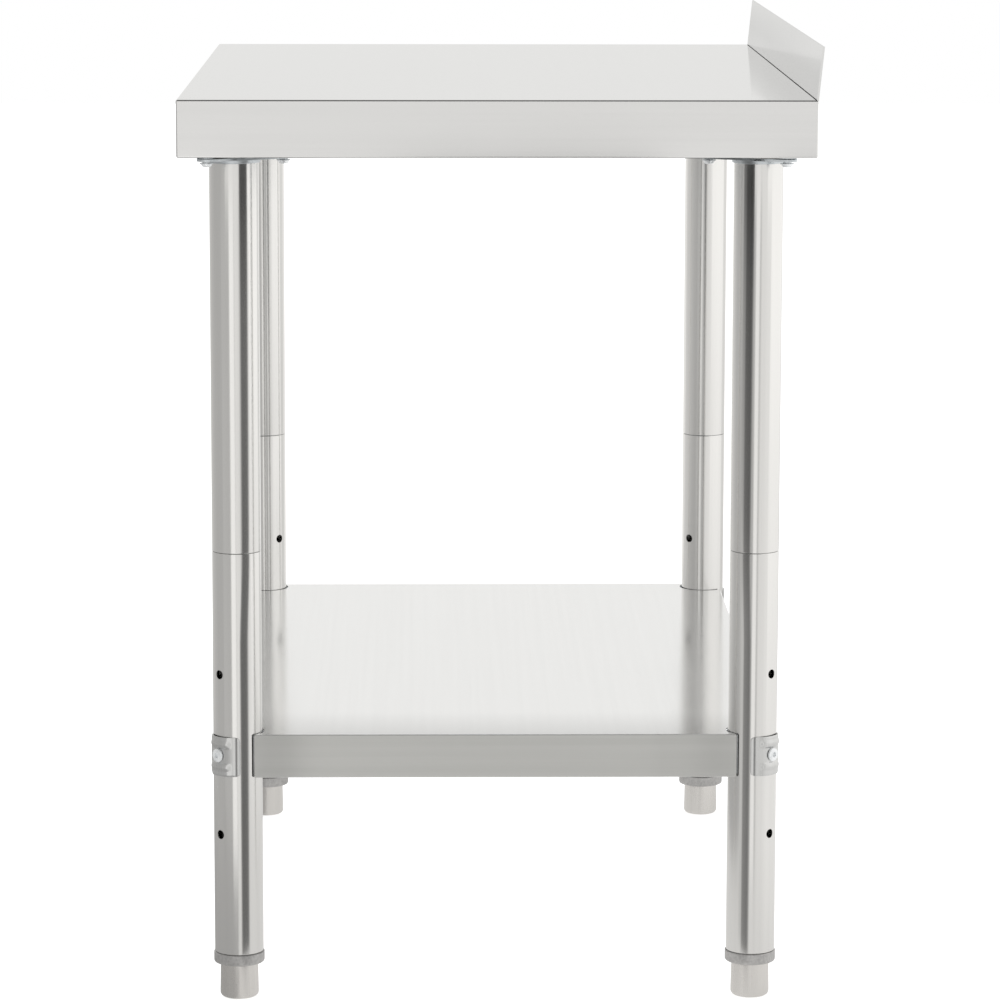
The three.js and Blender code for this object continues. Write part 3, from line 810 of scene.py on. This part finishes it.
def saddle_blank():
    """The pressed sheet, a little larger than the saddle that is stamped out of it."""
    columns, rows = 96, 84
    middle = CLAMP_HEIGHT - SADDLE_DROP
    half_turn = 1.06 * math.asin(SADDLE_HALF_WIDTH / CLAMP_OUTER)
    half_height = SADDLE_HALF_HEIGHT + 1 * MM
    bm = bmesh.new()
    skins = []
    for sheet in (0, CLAMP_SHEET):
        skin = []
        for i in range(columns + 1):
            turn = half_turn * (2 * i / columns - 1)
            x, y = math.cos(math.pi / 4 + turn), math.sin(math.pi / 4 + turn)
            line = []
            for k in range(rows + 1):
                height = half_height * (2 * k / rows - 1)
                radius = saddle_radius(turn * CLAMP_OUTER, height, sheet)
                line.append(bm.verts.new((radius * x, radius * y, middle + height)))
            skin.append(line)
        skins.append(skin)
        for i in range(columns):
            for k in range(rows):
                bm.faces.new((skin[i][k], skin[i + 1][k], skin[i + 1][k + 1], skin[i][k + 1]))
    inner, outer = skins
    rim = [(i, 0) for i in range(columns)] + [(columns, k) for k in range(rows)]
    rim += [(i, rows) for i in range(columns, 0, -1)] + [(0, k) for k in range(rows, 0, -1)]
    for (i, k), (j, m) in zip(rim, rim[1:] + rim[:1]):
        bm.faces.new((inner[i][k], inner[j][m], outer[j][m], outer[i][k]))
    bmesh.ops.recalc_face_normals(bm, faces=bm.faces)
    return make("saddle", bm)


def saddles():
    """The outer half of a clamp, with round corners and a hole for the screw."""
    saddle = saddle_blank()
    high, wide, corner = SADDLE_HALF_HEIGHT, SADDLE_HALF_WIDTH, 4 * MM
    corners = [(-high, -wide, corner), (high, -wide, corner), (high, wide, corner), (-high, wide, corner)]
    stamp = prism(rounded(corners, 8), 0, 60 * MM)
    stamp.transform(Matrix.Translation((0, 0, CLAMP_HEIGHT - SADDLE_DROP)) @ DIAGONAL)
    combine(saddle, make("stamp", stamp), "INTERSECT")
    combine(saddle, make("drill", rod(SCREW_HOLE, 0, 60 * MM), CLAMP_AXIS), "DIFFERENCE")
    smooth(saddle, 40)
    copies(saddle, PRESSED, at_corners("shelf_saddle", "shelf"))


def brackets():
    """The inner half of a clamp: a curved plate, a wing along each shelf wall and a weld nut."""
    low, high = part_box("shelf_bracket_rear_right")
    first, last = 225 - 88.1, 225 + 88.1
    curve = arc((0, 0), CLAMP_OUTER, first, last, 48) + arc((0, 0), CLAMP_BORE, last, first, 48)
    plate = make("bracket", prism(curve, low.z, high.z))
    wing_outer = 18.8 * MM
    wing_inner = wing_outer - CLAMP_SHEET
    start = -math.sqrt(CLAMP_BORE ** 2 - wing_inner ** 2) - 0.5 * MM
    end = start - 34 * MM
    wing_x = block((end, wing_inner, low.z), (start, wing_outer, high.z))
    wing_y = block((wing_inner, end, low.z), (wing_outer, start, high.z))
    for wing in (wing_y, wing_x):
        combine(plate, make("wing", wing), "UNION")
    nut = prism(circle(8 * MM, 6), -CLAMP_OUTER - CLAMP_NUT, -CLAMP_OUTER + CLAMP_SHEET / 2)
    combine(plate, make("nut", nut, CLAMP_AXIS), "UNION")
    combine(plate, make("drill", rod(SCREW_HOLE, -60 * MM, 0), CLAMP_AXIS), "DIFFERENCE")
    bevel(plate, 0.25 * MM)
    smooth(plate, 35)
    copies(plate, GALVANISED, at_corners("shelf_bracket", "shelf"))


def shelf_screws():
    """A low button head with a hexagon socket, on a shank that crosses the leg."""
    seat = CLAMP_OUTER + 0.3 * MM
    crown = seat + 2.6 * MM
    rim = 6.6 * MM
    shank = 3.9 * MM
    tail = -CLAMP_OUTER - CLAMP_NUT
    profile = [(0, crown)]
    profile += [(3.4 * MM, crown - 0.02 * MM), (4.9 * MM, crown - 0.16 * MM), (5.7 * MM, crown - 0.38 * MM)]
    profile += arc((rim - 0.9 * MM, crown - 1.2 * MM), 0.9 * MM, 70, 0, 6)
    profile += [(rim, seat + 0.3 * MM), (rim - 0.3 * MM, seat), (shank, seat)]
    profile += [(shank, tail + 0.8 * MM), (shank - 0.8 * MM, tail), (0, tail)]
    screw = make("screw", lathe(profile, 56))
    key = prism(circle(2.9 * MM, 6), crown - 1.8 * MM, crown + PAST)
    combine(screw, make("key", key), "DIFFERENCE")
    screw.data.transform(CLAMP_AXIS)
    smooth(screw, 30)
    copies(screw, ZINC, at_corners("shelf_screw", "shelf"))


# ---------------------------------------------------------------- feet

def sockets():
    """The cast ring at each leg's end, with its plug inside the tube."""
    low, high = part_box("foot_socket_front_left")
    ring_top = low.z + 11 * MM
    radius, plug = 25 * MM, 22.7 * MM
    profile = [(STEM_HOLE, low.z), (21.6 * MM, low.z)]
    profile += arc((radius - 2.2 * MM, low.z + 2.2 * MM), 2.2 * MM, -80, 0, 6)
    profile += [(radius, ring_top - 0.6 * MM), (radius - 0.5 * MM, ring_top - 0.1 * MM)]
    profile += [(radius - 0.9 * MM, ring_top), (plug, ring_top), (plug, high.z - 0.6 * MM)]
    profile += [(plug - 0.6 * MM, high.z), (STEM_HOLE, high.z)]
    socket = make("socket", lathe(profile, ring=True))
    smooth(socket, 35)
    copies(socket, CAST, on_axes("foot_socket", "frame"))


def threaded_rod(radius, bottom, top, pitch, depth, sides=36, steps=6):
    """A rod with a real helical thread and flat ends."""
    bm = bmesh.new()
    count = int((top - bottom) / pitch * steps)
    rows = []
    for n in range(count + 1):
        height = bottom + (top - bottom) * n / count
        row = []
        for i in range(sides):
            angle = 2 * math.pi * i / sides
            phase = (height / pitch - i / sides) % 1
            groove = depth if n in (0, count) else depth * abs(2 * phase - 1)
            reach = radius - groove
            row.append(bm.verts.new((reach * math.cos(angle), reach * math.sin(angle), height)))
        rows.append(row)
    for low, high in zip(rows, rows[1:]):
        for i in range(sides):
            j = (i + 1) % sides
            bm.faces.new((low[i], low[j], high[j], high[i]))
    bm.faces.new(rows[0])
    bm.faces.new(rows[-1])
    bmesh.ops.recalc_face_normals(bm, faces=bm.faces)
    return bm


def stems():
    """An M12 stem with its thread for each foot."""
    low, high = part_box("foot_stem_front_left")
    stem = make("stem", threaded_rod(6 * MM, low.z, high.z, pitch=1.75 * MM, depth=0.75 * MM))
    smooth(stem, 30)
    copies(stem, ZINC, on_axes("foot_stem"))


def cups():
    """The cup that each foot stands on, a little wider at the bottom."""
    low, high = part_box("foot_cup_front_left")
    top = high.z
    radius, top_radius, base_round, top_round = 19 * MM, 18.4 * MM, 4.5 * MM, 0.8 * MM
    hole_floor = top - 14.3 * MM
    profile = [(0, low.z)]
    profile += arc((radius - base_round, low.z + base_round), base_round, -90, 0, 12)
    profile += [(radius - 0.05 * MM, low.z + 9 * MM), (top_radius + 0.1 * MM, top - 3 * MM)]
    profile += arc((top_radius - top_round, top - top_round), top_round, 0, 90, 6)
    profile += [(STEM_HOLE, top), (STEM_HOLE, hole_floor), (0, hole_floor)]
    cup = make("cup", lathe(profile))
    smooth(cup, 32)
    copies(cup, CUP, on_axes("foot_cup"))


# ---------------------------------------------------------------- studio

def make_camera():
    """A long lens at the table's right-hand end, a little above the work surface."""
    focal_px, image_px = 4453.4, 1000
    yaw, pitch, roll = 0.0178, 0.1598, -0.0021
    place = Vector((4.6826, -0.0747, 1.1879))
    forward = Vector((-math.cos(yaw) * math.cos(pitch), math.sin(yaw) * math.cos(pitch), -math.sin(pitch)))
    level_right = Vector((math.sin(yaw), math.cos(yaw), 0))
    level_down = forward.cross(level_right)
    right = math.cos(roll) * level_right + math.sin(roll) * level_down
    down = -math.sin(roll) * level_right + math.cos(roll) * level_down
    turn = Matrix((right, -down, -forward)).transposed()
    data = bpy.data.cameras.new("photo_camera")
    data.sensor_width = 36
    data.lens = data.sensor_width * focal_px / image_px
    data.clip_end = 60
    camera = bpy.data.objects.new("photo_camera", data)
    camera.matrix_world = Matrix.Translation(place) @ turn.to_4x4()
    bpy.context.scene.collection.objects.link(camera)
    bpy.context.scene.camera = camera


def glow(name):
    """A light that only the steel's reflections see, with its brightness painted on the mesh."""
    material = bpy.data.materials.new(name)
    material.use_nodes = True
    tree = material.node_tree
    tree.nodes.clear()
    painted = tree.nodes.new("ShaderNodeAttribute")
    painted.attribute_name = "shade"
    emission = tree.nodes.new("ShaderNodeEmission")
    emission.inputs["Strength"].default_value = 1.0
    out = tree.nodes.new("ShaderNodeOutputMaterial")
    tree.links.new(painted.outputs["Color"], emission.inputs["Color"])
    tree.links.new(emission.outputs[0], out.inputs["Surface"])
    material.cycles.emission_sampling = "NONE"
    return material


def between(stops, value):
    """Straight-line interpolation in a list of (place, shade) stops."""
    if value <= stops[0][0]:
        return stops[0][1]
    for (start, first), (end, second) in zip(stops, stops[1:]):
        if value <= end:
            return first + (second - first) * (value - start) / (end - start)
    return stops[-1][1]


def card(name, columns, rows, place, shade, material):
    """A grid of studio card. place turns (column, row) values into a point, shade gives its brightness."""
    warmth = (1.004, 1.0, 0.985)
    bm = bmesh.new()
    layer = bm.verts.layers.float_color.new("shade")
    grid = []
    for u in columns:
        line = []
        for v in rows:
            vert = bm.verts.new(place(u, v))
            grey = shade(u, v)
            vert[layer] = (*(grey * part for part in warmth), 1)
            line.append(vert)
        grid.append(line)
    for i in range(len(columns) - 1):
        for k in range(len(rows) - 1):
            bm.faces.new((grid[i][k], grid[i + 1][k], grid[i + 1][k + 1], grid[i][k + 1]))
    obj = make(name, bm)
    obj.data.materials.append(material)
    obj.visible_camera = False
    obj.visible_diffuse = False
    obj.visible_shadow = False
    obj.visible_transmission = False


# The room that the steel mirrors, in metres. Each list holds (place, shade) stops.
NEAR_X, FAR_X, SIDE_Y, ROOM_TOP = 1.3, -1.5, 1.0, 2.2
# What the legs see beyond the near end, from front to rear.
STRIPES_X, STRIPES_TOP = 0.80, 0.80
STRIPES = [
    (-1.0, 0.55), (-0.46, 0.52), (-0.425, 0.56), (-0.42, 1.06), (-0.27, 1.02), (-0.263, 0.70), (-0.252, 0.70),
    (-0.245, 0.90), (-0.12, 0.84), (-0.08, 0.60), (0.06, 0.46), (0.16, 0.50), (0.18, 0.96), (0.29, 0.96),
    (0.30, 0.60), (0.34, 0.60), (0.36, 0.84), (1.0, 0.92),
]
# The end walls, from the floor up.
NEAR_RISE = [(0.0, 0.87), (1.30, 0.87), (1.45, 0.22), (2.2, 0.08)]
FAR_RISE = [(0.0, 0.94), (0.80, 0.96), (0.88, 0.825), (1.5, 0.82), (2.2, 0.7)]
# The side walls, from the far end to the near end, and how they change with height.
FRONT_SIDE = [(-1.5, 0.80), (-0.9, 0.70), (-0.2, 0.56), (0.3, 0.49), (0.8, 0.48), (1.3, 0.58)]
FRONT_RISE = [(0.0, 1.0), (1.7, 1.0), (2.2, 0.7)]
REAR_SIDE = [(-1.5, 0.84), (-0.75, 0.86), (-0.60, 1.12), (1.3, 1.12)]
REAR_RISE = [(0.0, 0.80), (0.25, 0.90), (0.60, 1.0), (1.7, 1.0), (2.2, 0.7)]
# The ceiling from the far end to the near end, and the floor from front to rear.
OVERHEAD = [(-1.5, 0.45), (0.0, 0.20), (1.3, 0.06)]
FLOOR_ACROSS = [
    (-1.0, 0.46), (-0.30, 0.40), (-0.262, 0.42), (-0.252, 0.74), (0.30, 0.76), (0.55, 0.85), (1.0, 0.95),
]
# A dark card just beyond each near leg. Its stops go by the bearing, in degrees, at which the leg mirrors
# them. Below the joint of the leg the card moves over by its lean, and its shade changes with height.
FLAG_AWAY, FLAG_BOTTOM, FLAG_JOINT, FLAG_TOP = 0.056, 0.031, 0.437, 0.836
FLAG_SLANT = 0.08
FLAG_LIGHTEST = 0.6
FRONT_FLAG = [(26, 0.50), (31, 0.20), (35, 0.15), (57, 0.16), (62, 0.26), (66, 0.6)]
FRONT_LEAN, FRONT_LEVELS = -11, [(0.68, 1.0), (0.80, 0.5)]
REAR_FLAG = [(-74, 0.40), (-62, 0.32), (-57, 0.14), (-32, 0.10), (-27, 0.18), (-22, 0.45)]
REAR_LEAN, REAR_LEVELS = 9, [(0.38, 1.9), (0.47, 1.2), (0.68, 0.9), (0.80, 0.45)]


def places_of(stops):
    """Where a list of stops changes, which is where a card needs its vertices."""
    return [place for place, _ in stops]


def end_wall(name, x, rise, material):
    card(name, [-SIDE_Y, SIDE_Y], places_of(rise), lambda u, v: (x, u, v),
         lambda u, v: between(rise, v), material)


def side_wall(name, y, stops, rise, material):
    card(name, places_of(stops), places_of(rise), lambda u, v: (u, y, v),
         lambda u, v: between(stops, u) * between(rise, v), material)


def lit_room():
    """The room that the steel mirrors: pale walls, dimmer to the front, striped beyond the near end."""
    material = glow("reflected_room")
    card("near_stripes", places_of(STRIPES), [0, STRIPES_TOP], lambda u, v: (STRIPES_X, u, v),
         lambda u, v: between(STRIPES, u), material)
    end_wall("near_wall", NEAR_X, NEAR_RISE, material)
    end_wall("far_wall", FAR_X, FAR_RISE, material)
    side_wall("front_wall", -SIDE_Y, FRONT_SIDE, FRONT_RISE, material)
    side_wall("rear_wall", SIDE_Y, REAR_SIDE, REAR_RISE, material)
    card("overhead", places_of(OVERHEAD), [-SIDE_Y, SIDE_Y], lambda u, v: (u, v, ROOM_TOP),
         lambda u, v: between(OVERHEAD, u), material)
    card("mirrored_floor", [FAR_X, NEAR_X], places_of(FLOOR_ACROSS), lambda u, v: (u, v, -0.3 * MM),
         lambda u, v: between(FLOOR_ACROSS, v), material)
    dark_flag("front_flag", "front_right", FRONT_FLAG, FRONT_LEAN, FRONT_LEVELS, material)
    dark_flag("rear_flag", "rear_right", REAR_FLAG, REAR_LEAN, REAR_LEVELS, material)


def dark_flag(name, corner, stops, lean, levels, material):
    """A dark card that one near leg mirrors as its dark stripe."""
    centre = leg_centre(corner)
    bend = FLAG_JOINT - FLAG_SLANT

    def place(bearing, height):
        moved = bearing + lean * between([(bend, 1), (FLAG_JOINT, 0)], height)
        mirrored = math.radians(moved)
        start = Vector((math.cos(mirrored / 2), math.sin(mirrored / 2))) * LEG_RADIUS
        across = start.y + math.tan(mirrored) * (FLAG_AWAY - start.x)
        return (centre.x + FLAG_AWAY, centre.y + across, height)

    def shade(bearing, height):
        return min(between(stops, bearing) * between(levels, height), FLAG_LIGHTEST)

    rows = [FLAG_BOTTOM, 0.30, bend, 0.38, FLAG_JOINT, 0.47, 0.68, 0.80, FLAG_TOP]
    card(name, places_of(stops), rows, place, shade, material)


def make_world():
    """Even white light for the camera and for everything that is not polished."""
    world = bpy.data.worlds.new("studio")
    bpy.context.scene.world = world
    world.use_nodes = True
    background = world.node_tree.nodes["Background"]
    background.inputs["Color"].default_value = (1, 1, 1, 1)
    background.inputs["Strength"].default_value = 1.0
    world.cycles_visibility.glossy = False


def make_floor():
    """A plain pale floor that can be looked through from below."""
    bm = bmesh.new()
    bmesh.ops.create_grid(bm, x_segments=1, y_segments=1, size=12)
    floor = make("floor", bm, Matrix.Translation((0, 0, -0.5 * MM)))
    material = bpy.data.materials.new("pale_floor")
    material.use_nodes = True
    shader = material.node_tree.nodes["Principled BSDF"]
    shader.inputs["Base Color"].default_value = (0.93, 0.93, 0.93, 1)
    shader.inputs["Roughness"].default_value = 0.9
    shader.inputs["Specular IOR Level"].default_value = 0.0
    shader.inputs["Emission Color"].default_value = (1, 1, 1, 1)
    shader.inputs["Emission Strength"].default_value = 0.55
    tree = material.node_tree
    side = tree.nodes.new("ShaderNodeNewGeometry")
    clear = tree.nodes.new("ShaderNodeBsdfTransparent")
    either = tree.nodes.new("ShaderNodeMixShader")
    tree.links.new(side.outputs["Backfacing"], either.inputs[0])
    tree.links.new(shader.outputs[0], either.inputs[1])
    tree.links.new(clear.outputs[0], either.inputs[2])
    tree.links.new(either.outputs[0], tree.nodes["Material Output"].inputs["Surface"])
    floor.data.materials.append(material)


def studio():
    """The camera, the light, the floor and the room that the steel mirrors."""
    bpy.context.scene.view_settings.view_transform = "Standard"
    make_camera()
    make_world()
    make_floor()
    lit_room()


table_top()
undershelf()
legs()
flanges()
flange_bolts()
sleeves()
channels()
cross_channels()
saddles()
brackets()
shelf_screws()
sockets()
stems()
cups()
studio()

bpy.context.view_layer.update()
